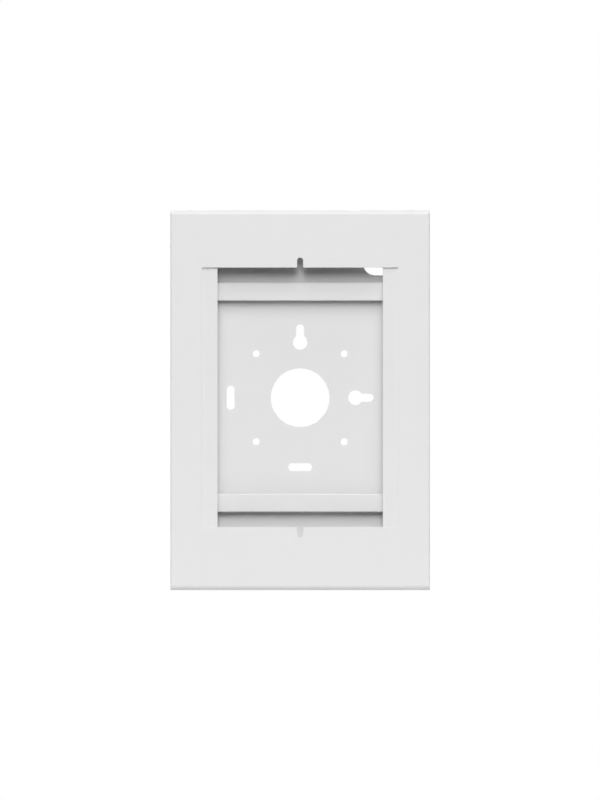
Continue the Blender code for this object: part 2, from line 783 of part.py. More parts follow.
# Cam: drawn pointing to the wall, which leaves the lock open
tip = CAM_WIDTH / 2
swing = CAM_LENGTH - tip
spread = math.degrees(math.acos(tip / (CAM_HUB_DIAMETER / 2)))
cam_outline = arc(0, swing, tip, 0, 180, 12) + arc(
    0, 0, CAM_HUB_DIAMETER / 2, 180 - spread, 360 + spread, 20
)
cam = prism("lock_cam", shifted(cam_outline, *lock_spot), CAM_Z, CAM_TOP_Z, "plan", parts)
half_hole = half_drive + PLUG_CLEARANCE
cam_hole = box(
    "cam_hole",
    (LOCK_X - half_hole, LOCK_Y - half_hole, CAM_Z - CAM_THICKNESS),
    (LOCK_X + half_hole, LOCK_Y + half_hole, CAM_TOP_Z + CAM_THICKNESS),
)
cut(cam, cam_hole)
place(cam, LOCK_AXIS, lock_axis)
dress(cam, finish("lock_cam_zinc", zinc, 0.35, 0.9))

washer_seat = Vector((LOCK_X, LOCK_Y, WASHER_Z))
washer = drilled(
    "cam_washer",
    CAM_WASHER_DIAMETER,
    CAM_SCREW_DIAMETER + 2 * PLUG_CLEARANCE,
    washer_seat,
    washer_seat + Vector((0, 0, CAM_WASHER_THICKNESS)),
    24,
)
place(washer, washer_seat, lock_axis)
dress(washer, finish("cam_washer_zinc", zinc, 0.35, 0.9))

cam_screw = rod(
    "cam_screw",
    CAM_SCREW_HEAD_DIAMETER,
    (LOCK_X, LOCK_Y, CAM_SCREW_Z),
    (LOCK_X, LOCK_Y, CAM_SCREW_Z + CAM_SCREW_HEAD_HEIGHT),
    parts,
    24,
)
screw_shank = rod(
    "cam_screw_shank",
    CAM_SCREW_DIAMETER,
    (LOCK_X, LOCK_Y, CAM_SCREW_Z - CAM_SCREW_LENGTH),
    (LOCK_X, LOCK_Y, CAM_SCREW_Z + CAM_SCREW_HEAD_HEIGHT / 2),
    steps=16,
)
join(cam_screw, screw_shank)
place(cam_screw, (LOCK_X, LOCK_Y, CAM_SCREW_Z), lock_axis)
dress(cam_screw, finish("cam_screw_zinc", zinc, 0.35, 0.9))

# Wall plate: the tray is an open sheet with rounded folds, made solid towards its inside
bm = bmesh.new()
bmesh.ops.create_cube(bm, size=1)
plate_low = Vector((-PLATE_HALF_WIDTH, -PLATE_FLANGE_DEPTH, PLATE_BOTTOM_Z))
plate_size = Vector((PLATE_HALF_WIDTH, 0, PLATE_TOP_Z)) - plate_low
bmesh.ops.scale(bm, vec=plate_size, verts=bm.verts)
bmesh.ops.translate(bm, vec=plate_low + plate_size / 2, verts=bm.verts)
front = [f for f in bm.faces if f.normal.y < -0.9]
rear_edges = [
    e for f in bm.faces if f.normal.y > 0.9 for e in f.edges
]
bmesh.ops.delete(bm, geom=front, context="FACES_ONLY")
bmesh.ops.bevel(
    bm,
    geom=rear_edges,
    offset=PLATE_BEND_RADIUS,
    segments=BEND_STEPS,
    profile=0.5,
    affect="EDGES",
    offset_type="OFFSET",
)
wall_plate = to_mesh("wall_plate", bm, parts)
sheet = wall_plate.modifiers.new("sheet", "SOLIDIFY")
sheet.thickness = PLATE_SHEET
sheet.offset = -1
sheet.use_even_offset = True
through = (PLATE_FRONT_Y - PLATE_SHEET, PLATE_SHEET)
for up, z in (("lower", PLATE_BOTTOM_Z), ("upper", PLATE_TOP_Z)):
    for side, x in (("left", -PLATE_HALF_WIDTH), ("right", PLATE_HALF_WIDTH)):
        reach = PLATE_CORNER_RELIEF
        relief = box(
            f"corner_relief_{up}_{side}",
            (x - reach, -PLATE_FLANGE_DEPTH - PLATE_SHEET, z - reach),
            (x + reach, PLATE_SHEET, z + reach),
        )
        cut(wall_plate, relief)
cut(wall_plate, rod("cable_hole", CABLE_HOLE_DIAMETER, (0, through[0], 0),
                    (0, through[1], 0), steps=64))
for up, z in (("lower", -SCREW_PITCH / 2), ("upper", SCREW_PITCH / 2)):
    for side, x in (("left", -SCREW_PITCH / 2), ("right", SCREW_PITCH / 2)):
        hole = rod(
            f"screw_hole_{up}_{side}",
            SCREW_HOLE_DIAMETER,
            (x, through[0], z),
            (x, through[1], z),
        )
        cut(wall_plate, hole)
slot = rounded_rectangle(
    0, LEVEL_SLOT_OFFSET, LEVEL_SLOT_LENGTH, LEVEL_SLOT_WIDTH, LEVEL_SLOT_WIDTH / 2
)
cutouts = (
    ("keyhole_top", keyhole_outline()),
    ("keyhole_right", turned_outline(keyhole_outline(), -90)),
    ("level_slot_left", turned_outline(slot, 90)),
    ("level_slot_bottom", turned_outline(slot, 180)),
    (
        "camera_cutout",
        rounded_rectangle(
            CAMERA_CUTOUT_X,
            CAMERA_CUTOUT_Z,
            CAMERA_CUTOUT_WIDTH,
            CAMERA_CUTOUT_HEIGHT,
            CAMERA_CUTOUT_RADIUS,
        ),
    ),
)
for name, outline in cutouts:
    cut(wall_plate, prism(name, outline, *through))
for side, x in HOOKS:
    hook_slot = box(
        f"hook_slot_{side}",
        (
            x - HOOK_WIDTH / 2 - HOOK_SLOT_SIDE_CLEARANCE,
            HOOK_AXIS_Y - HOOK_SHEET / 2 - HOOK_SLOT_FRONT_CLEARANCE,
            PLATE_TOP_Z - 2 * PLATE_SHEET,
        ),
        (
            x + HOOK_WIDTH / 2 + HOOK_SLOT_SIDE_CLEARANCE,
            HOOK_AXIS_Y + HOOK_SHEET / 2 + HOOK_SLOT_REAR_CLEARANCE,
            PLATE_TOP_Z + PLATE_SHEET,
        ),
    )
    cut(wall_plate, hook_slot)
relief_half = across_flats(LOCK_NUT_ACROSS_FLATS) / 2 + LOCK_FLANGE_RELIEF
cut(
    wall_plate,
    box(
        "lock_relief",
        (LOCK_X - relief_half, -PLATE_FLANGE_DEPTH - PLATE_SHEET, PLATE_BOTTOM_Z - PLATE_SHEET),
        (LOCK_X + relief_half, LOCK_Y + relief_half, PLATE_BOTTOM_Z + 2 * PLATE_SHEET),
    ),
)

# Support bars: a channel between two feet, and the rivets that hold the feet
foot_y = PLATE_FRONT_Y - SEAT_GAP - BAR_SHEET / 2
web_y = BAR_FACE_Y + BAR_SHEET / 2
rivet_x = BAR_HALF_SPAN + BAR_FOOT_LENGTH / 2
rivet_bore = RIVET_DIAMETER + 2 * RIVET_HOLE_CLEARANCE
for up, middle in (("upper", BAR_Z), ("lower", -BAR_Z)):
    z = FRAME_CENTRE_Z + middle
    low = z - BAR_WIDTH / 2
    high = z + BAR_WIDTH / 2
    bar = folded(
        f"{up}_support_bar",
        [
            (BAR_FACE_Y + BAR_LIP_DEPTH, low + BAR_SHEET / 2),
            (web_y, low + BAR_SHEET / 2),
            (web_y, high - BAR_SHEET / 2),
            (BAR_FACE_Y + BAR_LIP_DEPTH, high - BAR_SHEET / 2),
        ],
        BAR_SHEET,
        BAR_BEND_RADIUS,
        -BAR_HALF_SPAN,
        BAR_HALF_SPAN,
        collection=parts,
    )
    for side, sign in (("left", -1), ("right", 1)):
        leg_x = sign * (BAR_HALF_SPAN - BAR_SHEET / 2)
        foot = folded(
            f"{up}_bar_foot_{side}",
            [
                (leg_x, web_y),
                (leg_x, foot_y),
                (sign * (BAR_HALF_SPAN + BAR_FOOT_LENGTH), foot_y),
            ],
            BAR_SHEET,
            BAR_BEND_RADIUS,
            low,
            high,
            across="z",
        )
        join(bar, foot)
    for side, x in (("left", -rivet_x), ("right", rivet_x)):
        hole = rod(
            f"{up}_rivet_hole_{side}",
            rivet_bore,
            (x, foot_y - BAR_SHEET, z),
            (x, PLATE_SHEET, z),
            steps=24,
        )
        cut(bar, hole)
        cut(wall_plate, hole)
        head_y = foot_y - BAR_SHEET / 2 - SEAT_GAP
        rivet = rod(
            f"{up}_bar_rivet_{side}",
            RIVET_HEAD_DIAMETER,
            (x, head_y - RIVET_HEAD_HEIGHT, z),
            (x, head_y, z),
            parts,
            20,
        )
        shank = rod(
            f"{up}_rivet_shank_{side}",
            RIVET_DIAMETER,
            (x, head_y - RIVET_HEAD_HEIGHT / 2, z),
            (x, -SEAT_GAP, z),
            steps=16,
        )
        join(rivet, shank)
        place(rivet, (x, head_y, z))
        dress(rivet, finish(f"{up}_bar_rivet_{side}_zinc", zinc, 0.4, 0.9))
    place(bar, (0, BAR_FACE_Y, z))
    dress(bar, finish(f"{up}_bar_powder_coat", powder_white, 0.5, 0.0))

place(wall_plate, (0, 0, 0))
dress(wall_plate, finish("plate_powder_coat", powder_white, 0.5, 0.0))

# Lock keeper: a foot on the plate, a standing leg beside the cam's tip, and a lip in front of it
leg_x = LOCK_X + CAM_LENGTH + KEEPER_TIP_GAP + KEEPER_SHEET / 2
lip_y = LOCK_Y - CAM_WIDTH / 2 - KEEPER_CAM_GAP - KEEPER_SHEET / 2
keeper_z = (CAM_Z + CAM_TOP_Z) / 2
keeper = folded(
    "lock_keeper",
    [
        (leg_x - KEEPER_SHEET / 2 - KEEPER_LIP_LENGTH, lip_y),
        (leg_x, lip_y),
        (leg_x, PLATE_FRONT_Y - SEAT_GAP - KEEPER_SHEET / 2),
        (leg_x + KEEPER_FOOT_LENGTH, PLATE_FRONT_Y - SEAT_GAP - KEEPER_SHEET / 2),
    ],
    KEEPER_SHEET,
    KEEPER_BEND_RADIUS,
    keeper_z - KEEPER_HEIGHT / 2,
    keeper_z + KEEPER_HEIGHT / 2,
    across="z",
    collection=parts,
)
place(keeper, (leg_x, PLATE_FRONT_Y, keeper_z))
dress(keeper, finish("keeper_powder_coat", powder_white, 0.5, 0.0))
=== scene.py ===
# %% [markdown]
# # A wall mount for a tablet, dressed for a studio picture
#
# The mount is white powder-coated sheet steel: a folded cover with a window, hung on a shallow
# wall plate. Two white plastic adapters narrow the window, two bars stand behind the tablet and
# a cam lock sits flush in the bottom edge. The solids already have the right shapes and places.
# This notebook gives them their surfaces, works out afresh the pieces whose shape a solid only
# sketches, such as bends, threads, nuts and rivet heads, and sets the light and the camera.

# %% Load the solids
import math

import bmesh
import bpy
import numpy as np
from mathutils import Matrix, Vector


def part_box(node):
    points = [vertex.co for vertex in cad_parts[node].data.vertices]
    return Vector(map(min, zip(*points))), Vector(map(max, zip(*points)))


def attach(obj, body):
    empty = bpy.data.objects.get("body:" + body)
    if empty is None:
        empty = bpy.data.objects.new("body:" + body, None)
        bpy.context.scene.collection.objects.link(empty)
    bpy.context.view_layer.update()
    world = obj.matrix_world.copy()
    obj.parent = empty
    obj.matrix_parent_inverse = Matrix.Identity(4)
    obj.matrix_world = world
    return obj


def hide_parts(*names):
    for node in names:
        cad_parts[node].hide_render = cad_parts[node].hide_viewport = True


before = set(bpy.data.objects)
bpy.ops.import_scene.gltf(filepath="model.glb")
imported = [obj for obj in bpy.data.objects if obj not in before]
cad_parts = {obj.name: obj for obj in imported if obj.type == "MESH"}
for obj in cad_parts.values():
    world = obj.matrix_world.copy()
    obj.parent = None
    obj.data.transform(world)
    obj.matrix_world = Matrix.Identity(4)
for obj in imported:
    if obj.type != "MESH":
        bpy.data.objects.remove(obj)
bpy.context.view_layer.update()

# %% [markdown]
# ## Camera
#
# The picture is taken square on, and nothing in it recedes: the bars deep inside and the window
# in front keep the same scale, and no inner wall shows. A parallel camera does that. One pixel
# is 0.8523 mm, and the middle of the picture is 2 mm below the middle of the cable hole.

# %% Camera
PIXEL = 0.0008523
PICTURE_WIDE, PICTURE_HIGH = 600, 800
CAMERA_DISTANCE, SIGHT_END = 4.0, 60.0
AIM = Vector((-0.00013, 0, -0.00196))

camera_data = bpy.data.cameras.new("parallel_camera")
camera_data.type = "ORTHO"
camera_data.ortho_scale = PICTURE_HIGH * PIXEL
camera_data.clip_end = SIGHT_END
camera = bpy.data.objects.new("camera", camera_data)
camera.location = AIM - Vector((0, CAMERA_DISTANCE, 0))
camera.rotation_euler = (math.radians(90), 0, 0)
bpy.context.scene.collection.objects.link(camera)
bpy.context.scene.camera = camera
print("picture", round(PICTURE_WIDE * PIXEL, 4), "x", round(PICTURE_HIGH * PIXEL, 4), "m")

# %% [markdown]
# ## A kit for node materials
#
# Every finish is a Principled shader with a few texture nodes in front of it. The helpers make
# one node, set its inputs by name, and take either a value or another node's output for each.
# Noise mostly lies between 0.3 and 0.7, so `spread` maps that part on to the range wanted.

# %% Node helpers
NOISE_LOW, NOISE_HIGH = 0.3, 0.7


def node(tree, kind, settings=None, **inputs):
    """One node of a kind; an input is a value or the output that feeds it."""
    made = tree.nodes.new("ShaderNode" + kind)
    for key, value in (settings or {}).items():
        setattr(made, key, value)
    for key, value in inputs.items():
        feed(tree, made.inputs[key.replace("_", " ")], value)
    return made


def feed(tree, socket, value):
    """Sets a socket to a value, or links it to an output."""
    if isinstance(value, bpy.types.NodeSocket):
        tree.links.new(value, socket)
    else:
        socket.default_value = value


def new_material(name, metallic=0.0, roughness=0.5):
    """A material's tree, its Principled shader and its object coordinates, ready to use."""
    mat = bpy.data.materials.new(name)
    mat.use_nodes = True
    tree = mat.node_tree
    shader = tree.nodes["Principled BSDF"]
    shader.inputs["Metallic"].default_value = metallic
    shader.inputs["Roughness"].default_value = roughness
    return mat, tree, shader, node(tree, "TexCoord").outputs["Object"]


def noise(tree, coords, scale, detail=3.0):
    """Fractal noise with this many features to a metre."""
    return node(tree, "TexNoise", Vector=coords, Scale=scale, Detail=detail).outputs["Fac"]


def spread(tree, value, low, high):
    """Maps noise on to a range."""
    made = node(tree, "MapRange", Value=value, To_Min=low, To_Max=high)
    feed(tree, made.inputs["From Min"], NOISE_LOW)
    feed(tree, made.inputs["From Max"], NOISE_HIGH)
    return made.outputs["Result"]


def tinted(tree, colour, amount):
    """A colour made a little darker by an amount between 0 and 1."""
    mix = node(tree, "Mix", {"data_type": "RGBA", "blend_type": "MULTIPLY"})
    for socket, value in zip((mix.inputs[0], mix.inputs[6], mix.inputs[7]), (1.0, colour, amount)):
        feed(tree, socket, value)
    return mix.outputs[2]


def bumps(tree, *layers):
    """Stacked bumps, each given as a height, a strength and a depth in metres."""
    normal = None
    for height, strength, depth in layers:
        bump = node(tree, "Bump", Height=height, Strength=strength, Distance=depth)
        if normal is not None:
            tree.links.new(normal, bump.inputs["Normal"])
        normal = bump.outputs["Normal"]
    return normal


# %% [markdown]
# ## White powder coat
#
# The steel is sprayed with a dry white powder that is baked until it flows. It levels into a
# faint orange peel about a millimetre across, with a much finer grain on top, and it shines
# softly. Its colour hardly changes, but its shine does, so noise drives the roughness, and two
# bumps at two scales stand for the peel and the grain.

# %% Powder coat
WHITE = (0.785, 0.785, 0.785, 1)
TONE_SCALE, SHINE_SCALE = 70, 900
PEEL_SCALE, PEEL_DEPTH = 1100, 0.0001
GRAIN_SCALE, GRAIN_DEPTH = 5200, 0.00003


def powder_coat(name):
    """White powder paint: an even colour, a soft uneven shine, and peel and grain as bumps."""
    mat, tree, shader, coords = new_material(name)
    tone = spread(tree, noise(tree, coords, TONE_SCALE, 4), 0.99, 1.0)
    feed(tree, shader.inputs["Base Color"], tinted(tree, WHITE, tone))
    shine = spread(tree, noise(tree, coords, SHINE_SCALE), 0.44, 0.56)
    feed(tree, shader.inputs["Roughness"], shine)
    peel = noise(tree, coords, PEEL_SCALE, 2)
    grain = noise(tree, coords, GRAIN_SCALE, 2)
    relief = bumps(tree, (peel, 0.14, PEEL_DEPTH), (grain, 0.1, GRAIN_DEPTH))
    feed(tree, shader.inputs["Normal"], relief)
    return mat


cover_paint = powder_coat("cover_powder_coat")
plate_paint = powder_coat("plate_powder_coat")
print("paints:", cover_paint.name, plate_paint.name)

# %% [markdown]
# ## Moulded plastic
#
# The adapters are injection moulded. The tool is spark eroded, which leaves an even matt grain
# of shallow pits. A Voronoi pattern at half a millimetre gives the pits, and a broad faint noise
# the slow change of shine where the plastic flowed.

# %% Adapter plastic
PLASTIC_WHITE = (0.795, 0.795, 0.795, 1)
FLOW_TONE_SCALE, FLOW_SHINE_SCALE = 45, 25
PIT_SCALE, PIT_DEPTH = 2400.0, 0.00005


def moulded_plastic(name):
    """Matt white plastic with a spark-eroded grain."""
    mat, tree, shader, coords = new_material(name, roughness=0.6)
    tone = spread(tree, noise(tree, coords, FLOW_TONE_SCALE), 0.985, 1.0)
    feed(tree, shader.inputs["Base Color"], tinted(tree, PLASTIC_WHITE, tone))
    shine = spread(tree, noise(tree, coords, FLOW_SHINE_SCALE, 2), 0.54, 0.66)
    feed(tree, shader.inputs["Roughness"], shine)
    pits = node(tree, "TexVoronoi", Vector=coords, Scale=PIT_SCALE).outputs["Distance"]
    feed(tree, shader.inputs["Normal"], bumps(tree, (pits, 0.12, PIT_DEPTH)))
    return mat


adapter_plastic = moulded_plastic("adapter_plastic")
print("plastic:", adapter_plastic.name)

# %% [markdown]
# ## Plated metals
#
# Nuts, rivets, studs, the cam and its screw are zinc plated: a cool grey metal, cloudy from the
# bath. The lock is nickel plated and polished, with fine turning lines round its axis. Those
# lines follow the distance from the axis, and a Mapping node makes the axis the middle of the
# pattern.

# %% Zinc and nickel
ZINC_TONES = ((0.50, 0.52, 0.55), (0.68, 0.70, 0.72))
NICKEL_TONES = ((0.62, 0.60, 0.56), (0.72, 0.70, 0.66))
CLOUD_SCALE, MARK_SCALE, MARK_DEPTH = 700, 2500, 0.00004
POLISH_SCALE, TURNING_SCALE, TURNING_DEPTH = 1500, 1500.0, 0.00003


def shaded(tree, value, dark, light):
    """Two tones of a metal, mixed by noise."""
    ramp = node(tree, "ValToRGB", Fac=value)
    places = (NOISE_LOW, NOISE_HIGH)
    for stop, place, colour in zip(ramp.color_ramp.elements, places, (dark, light)):
        stop.position = place
        stop.color = (*colour, 1)
    return ramp.outputs["Color"]


def zinc_plate(name):
    """Cloudy zinc: a metal whose tone and shine wander together."""
    mat, tree, shader, coords = new_material(name, metallic=1.0)
    cloud = noise(tree, coords, CLOUD_SCALE, 5)
    feed(tree, shader.inputs["Base Color"], shaded(tree, cloud, *ZINC_TONES))
    feed(tree, shader.inputs["Roughness"], spread(tree, cloud, 0.28, 0.46))
    marks = noise(tree, coords, MARK_SCALE)
    feed(tree, shader.inputs["Normal"], bumps(tree, (marks, 0.2, MARK_DEPTH)))
    return mat


def turned_nickel(name, axis_x, axis_y):
    """Nickel with turning lines: rings round a vertical axis."""
    mat, tree, shader, coords = new_material(name, metallic=1.0)
    centred = node(tree, "Mapping", Vector=coords, Location=(-axis_x, -axis_y, 0))
    lines = node(
        tree,
        "TexWave",
        {"wave_type": "RINGS", "rings_direction": "Z"},
        Vector=centred.outputs["Vector"],
        Scale=TURNING_SCALE,
        Distortion=0.4,
        Detail=2.0,
    ).outputs["Fac"]
    feed(tree, shader.inputs["Base Color"], shaded(tree, lines, *NICKEL_TONES))
    shine = spread(tree, noise(tree, coords, POLISH_SCALE), 0.18, 0.3)
    feed(tree, shader.inputs["Roughness"], shine)
    feed(tree, shader.inputs["Normal"], bumps(tree, (lines, 0.1, TURNING_DEPTH)))
    return mat


plug_low, plug_high = (Vector(corner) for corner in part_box("lock_plug"))
lock_axis = tuple((plug_low + plug_high).xy / 2)
lock_x, lock_y = lock_axis
zinc = zinc_plate("zinc_plate")
nickel = turned_nickel("turned_nickel", lock_x, lock_y)
print("lock axis", round(lock_x, 4), round(lock_y, 4))

# %% [markdown]
# ## Surfaces from arrays
#
# A new piece starts as an array: rows and columns of points, worked out all at once. Each cell
# between two rows and two columns becomes a face, and a direction that closes on itself wraps
# round. Points that fall together, as at a pole, are merged, and the faces are turned outwards.
# Weighted normals then let the big flat faces decide the shading, so that a flat stays flat
# right up to the bend beside it.

# %% Surface helpers
MERGE_DISTANCE, SLIVER_LENGTH = 2e-6, 1e-6
SHARP_ANGLE = 40
LARGE_FACE_WEIGHT = 90


def arc(centre, radius, start, end, count):
    """Points on a circle from one angle to another, in degrees, both ends included.

    Each is the centre plus the radius times the cosine and the sine of its angle.
    """
    turn = np.radians(np.linspace(start, end, count))
    return np.stack(
        [centre[0] + radius * np.cos(turn), centre[1] + radius * np.sin(turn)], axis=1
    )


def cells(grid, wrap_rows, wrap_columns, start):
    """The faces of one grid, as the numbers of the four points round each cell."""
    rows, columns = grid.shape[:2]
    row, column = np.meshgrid(
        np.arange(rows - (not wrap_rows)), np.arange(columns - (not wrap_columns)), indexing="ij"
    )
    next_row, next_column = (row + 1) % rows, (column + 1) % columns
    corners = [(row, column), (row, next_column), (next_row, next_column), (next_row, column)]
    return np.stack([start + r * columns + c for r, c in corners], axis=-1).reshape(-1, 4)


def surface_piece(name, grids, finish, body, replaced=(), sharp=SHARP_ANGLE):
    """One piece from grids of points, each with its two wraps, dressed and riding on a body."""
    points, faces, start = [], [], 0
    for grid, wrap_rows, wrap_columns in grids:
        faces.append(cells(grid, wrap_rows, wrap_columns, start))
        points.append(grid.reshape(-1, 3))
        start += len(points[-1])
    mesh = bpy.data.meshes.new(name)
    mesh.from_pydata(np.concatenate(points).tolist(), [], np.concatenate(faces).tolist())
    tidy(mesh)
    return dressed(name, mesh, finish, body, replaced, sharp)


def tidy(mesh, flat_angle=None):
    """Merges points that fall together, joins flats if asked, and turns the faces outwards."""
    bm = bmesh.new()
    bm.from_mesh(mesh)
    bmesh.ops.remove_doubles(bm, verts=bm.verts, dist=MERGE_DISTANCE)
    bmesh.ops.dissolve_degenerate(bm, edges=bm.edges, dist=SLIVER_LENGTH)
    if flat_angle:
        bmesh.ops.dissolve_limit(
            bm, angle_limit=flat_angle, verts=bm.verts, edges=bm.edges, delimit={"NORMAL"}
        )
    bmesh.ops.recalc_face_normals(bm, faces=bm.faces)
    bm.to_mesh(mesh)
    bm.free()


def dressed(name, mesh, finish, body, replaced=(), sharp=SHARP_ANGLE):
    """An object for a mesh, with its finish, its shading, its body and what it stands for."""
    mesh.shade_smooth()
    mesh.set_sharp_from_angle(angle=math.radians(sharp))
    mesh.materials.clear()
    mesh.materials.append(finish)
    piece = bpy.data.objects.new(name, mesh)
    bpy.context.scene.collection.objects.link(piece)
    weigh(piece)
    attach(piece, body)
    if replaced:
        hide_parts(*replaced)
    print(name, len(mesh.polygons), "faces")
    return piece


def weigh(piece):
    """Lets large faces decide the normals, and keeps sharp edges sharp."""
    weighted = piece.modifiers.new("weighted_normals", "WEIGHTED_NORMAL")
    weighted.weight = LARGE_FACE_WEIGHT
    weighted.keep_sharp = True


# %% [markdown]
# ## The cover's window
#
# The window is a rectangle with tight corners, and in the middle of its top and bottom edges a
# round-ended notch leaves room for the tablet's front camera. The outline runs anticlockwise
# as seen from the front and is kept in eight stretches: four sides and four corners. Each side
# is later paired with a side of the cover's outer edge, so the same stretches are needed there.

# %% Window outline
WINDOW_HALF_WIDTH = 0.0835
WINDOW_TOP, WINDOW_BOTTOM = 0.1109, -0.1102
WINDOW_CORNER = 0.0005
NOTCH_HALF_WIDTH, NOTCH_DEPTH, NOTCH_MOUTH = 0.0025, 0.0085, 0.0009
CORNER_POINTS, UPRIGHT_POINTS = 5, 21
HALF_EDGE_POINTS, MOUTH_POINTS, NOTCH_END_POINTS = 9, 6, 9


def notched_side(edge, depth_way):
    """A window edge with its notch, from right to left, as points (x, z), ends left out.

    Straight stretches are even steps; the notch is four arcs: a mouth, the round end in two
    quarters, and the other mouth, which mirror each other about x = 0.
    """
    corner = WINDOW_HALF_WIDTH - WINDOW_CORNER
    mouth_x = NOTCH_HALF_WIDTH + NOTCH_MOUTH
    straight = np.linspace(corner, mouth_x, HALF_EDGE_POINTS)[1:-1]
    mouth = arc((mouth_x, NOTCH_MOUTH), NOTCH_MOUTH, 270, 180, MOUTH_POINTS)
    end_centre = (0, NOTCH_DEPTH - NOTCH_HALF_WIDTH)
    end = arc(end_centre, NOTCH_HALF_WIDTH, 0, 90, NOTCH_END_POINTS)
    half = np.concatenate([np.stack([straight, 0 * straight], axis=1), mouth, end])
    whole = np.concatenate([half, half[-2::-1] * (-1, 1)])
    return whole * (1, depth_way) + (0, edge)


def corner_arcs(half_width, top, bottom, radius):
    """The four corners of a rounded rectangle, from the top right one anticlockwise.

    Each is a quarter of a circle whose centre lies one radius inside both edges.
    """
    x, high, low = half_width - radius, top - radius, bottom + radius
    centres = ((x, high), (-x, high), (-x, low), (x, low))
    return [
        arc(centre, radius, 90 * i, 90 * (i + 1), CORNER_POINTS)
        for i, centre in enumerate(centres)
    ]


lowest, highest = WINDOW_BOTTOM + WINDOW_CORNER, WINDOW_TOP - WINDOW_CORNER
upright = np.linspace(lowest, highest, UPRIGHT_POINTS)[1:-1]
right_side = np.stack([np.full_like(upright, WINDOW_HALF_WIDTH), upright], axis=1)
window_sides = [
    right_side,
    notched_side(WINDOW_TOP, 1),
    right_side[::-1] * (-1, 1),
    notched_side(WINDOW_BOTTOM, -1)[::-1],
]
window_corners = corner_arcs(WINDOW_HALF_WIDTH, WINDOW_TOP, WINDOW_BOTTOM, WINDOW_CORNER)
window = np.concatenate([part for pair in zip(window_sides, window_corners) for part in pair])
print("window outline", len(window), "points")

# %% [markdown]
# ## The cover's sections
#
# The cover is one sheet 1.5 mm thick. Its top and bottom edges are rolled to a 4.2 mm radius,
# and its sides are folded much tighter. Going round the cover's section, from the window's
# edge over the face, round the bend, down the wall, round the rim and back up the inside,
# every step is one ring. A ring is a rectangle at a depth below the face, set in from the
# cover's sides by one amount and from its ends by another. For a bend of radius R, a point at
# depth d is set in by R minus the root of R squared minus (R - d) squared.

# %% Rings of the cover
SHEET = 0.0015
END_BEND, SIDE_BEND = 0.0042, 0.0013
INNER_END_BEND, INNER_SIDE_BEND = END_BEND - SHEET, 0.0003
EDGE_ROUND = 0.0002
OUTER_CORNER = 0.0004
SIDE_BEND_RINGS, END_BEND_RINGS = 7, 13
INNER_SIDE_BEND_RINGS, INNER_END_BEND_RINGS = 3, 9
EDGE_RINGS = 4
DECIMALS = 7

cover_low, cover_high = (Vector(corner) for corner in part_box("front_cover"))
cover_depth = cover_high.y - cover_low.y


def bend_inset(depth, radius):
    """How far a bent edge lies inside its wall, at a depth below the face."""
    left = np.clip(radius - depth, 0, radius)
    return radius - np.sqrt(radius**2 - left**2)


def bend_depths(*bends):
    """The depths of the rings round bends, each bend given as a radius and a count.

    They lie at even angles round each bend, R minus R times the cosine of the angle, and come
    sorted, each once.
    """
    depths = [
        radius * (1 - np.cos(np.radians(np.linspace(0, 90, count)))) for radius, count in bends
    ]
    return np.unique(np.round(np.concatenate(depths), DECIMALS))


outer_depths = bend_depths((SIDE_BEND, SIDE_BEND_RINGS), (END_BEND, END_BEND_RINGS))
inner_depths = bend_depths(
    (INNER_SIDE_BEND, INNER_SIDE_BEND_RINGS), (INNER_END_BEND, INNER_END_BEND_RINGS)
)
rim_turn = np.radians(np.linspace(0, 90, EDGE_RINGS))
rim_outer = EDGE_ROUND * (1 - np.cos(rim_turn))
rim_rise = EDGE_ROUND * (1 - np.sin(rim_turn))
outer_rings = [(d, bend_inset(d, SIDE_BEND), bend_inset(d, END_BEND)) for d in outer_depths]
rim_rings = [(cover_depth - r, o, o) for r, o in zip(rim_rise, rim_outer)]
rim_rings += [(cover_depth - r, SHEET - o, SHEET - o) for r, o in zip(rim_rise, rim_outer)][::-1]
inner_rings = [
    (SHEET + d, SHEET + bend_inset(d, INNER_SIDE_BEND), SHEET + bend_inset(d, INNER_END_BEND))
    for d in inner_depths[::-1]
]
print("rings", len(outer_rings) + len(rim_rings) + len(inner_rings))

# %% [markdown]
# ## The cover's shell
#
# Each ring has a point for every point of the window's outline, at the same share of the way
# along its side, so rings and outline make one grid that closes in both directions, like the
# skin of a ring doughnut. The window's own cut edge is rounded a little, as paint rounds it:
# those rings are the outline pushed out along its normals.

# %% Shell grid


def share_along(side, before, after):
    """How far along its side each point lies, from 0 to 1, by the length of the outline."""
    path = np.concatenate([before[None], side, after[None]])
    steps = np.hypot(*np.diff(path, axis=0).T)
    return np.cumsum(steps)[:-1] / steps.sum()


side_shares = [
    share_along(side, window_corners[i - 1][-1], window_corners[i][0])
    for i, side in enumerate(window_sides)
]


def cover_ring(depth, side_inset, end_inset, corner=OUTER_CORNER):
    """A rectangle of the cover at a depth, with points where the window's outline has them.

    A point on a side is the side's start plus its share of the way to the side's end.
    """
    arcs = corner_arcs(
        cover_high.x - side_inset, cover_high.z - end_inset, cover_low.z + end_inset, corner
    )
    stretches = []
    for i, share in enumerate(side_shares):
        start, end = arcs[i - 1][-1], arcs[i][0]
        stretches += [start + share[:, None] * (end - start), arcs[i]]
    return at_depth(np.concatenate(stretches), depth)


def at_depth(outline, depth):
    """An outline (x, z) as points (x, y, z) at a depth below the cover's face."""
    y = np.full(len(outline), cover_low.y + depth)
    return np.stack([outline[:, 0], y, outline[:, 1]], axis=1)


ahead = np.roll(window, -1, axis=0) - np.roll(window, 1, axis=0)
away = np.stack([ahead[:, 1], -ahead[:, 0]], axis=1)
away /= np.hypot(*away.T)[:, None]
rows = [cover_ring(*ring) for ring in outer_rings + rim_rings + inner_rings]
rows += [at_depth(window + away * r, SHEET - o) for r, o in zip(rim_rise, rim_outer)]
rows += [at_depth(window + away * r, o) for r, o in zip(rim_rise, rim_outer)][::-1]
cover_shell = surface_piece(
    "cover_shell",
    [(np.stack(rows), True, True)],
    cover_paint,
    "cover",
    ["front_cover"],
)

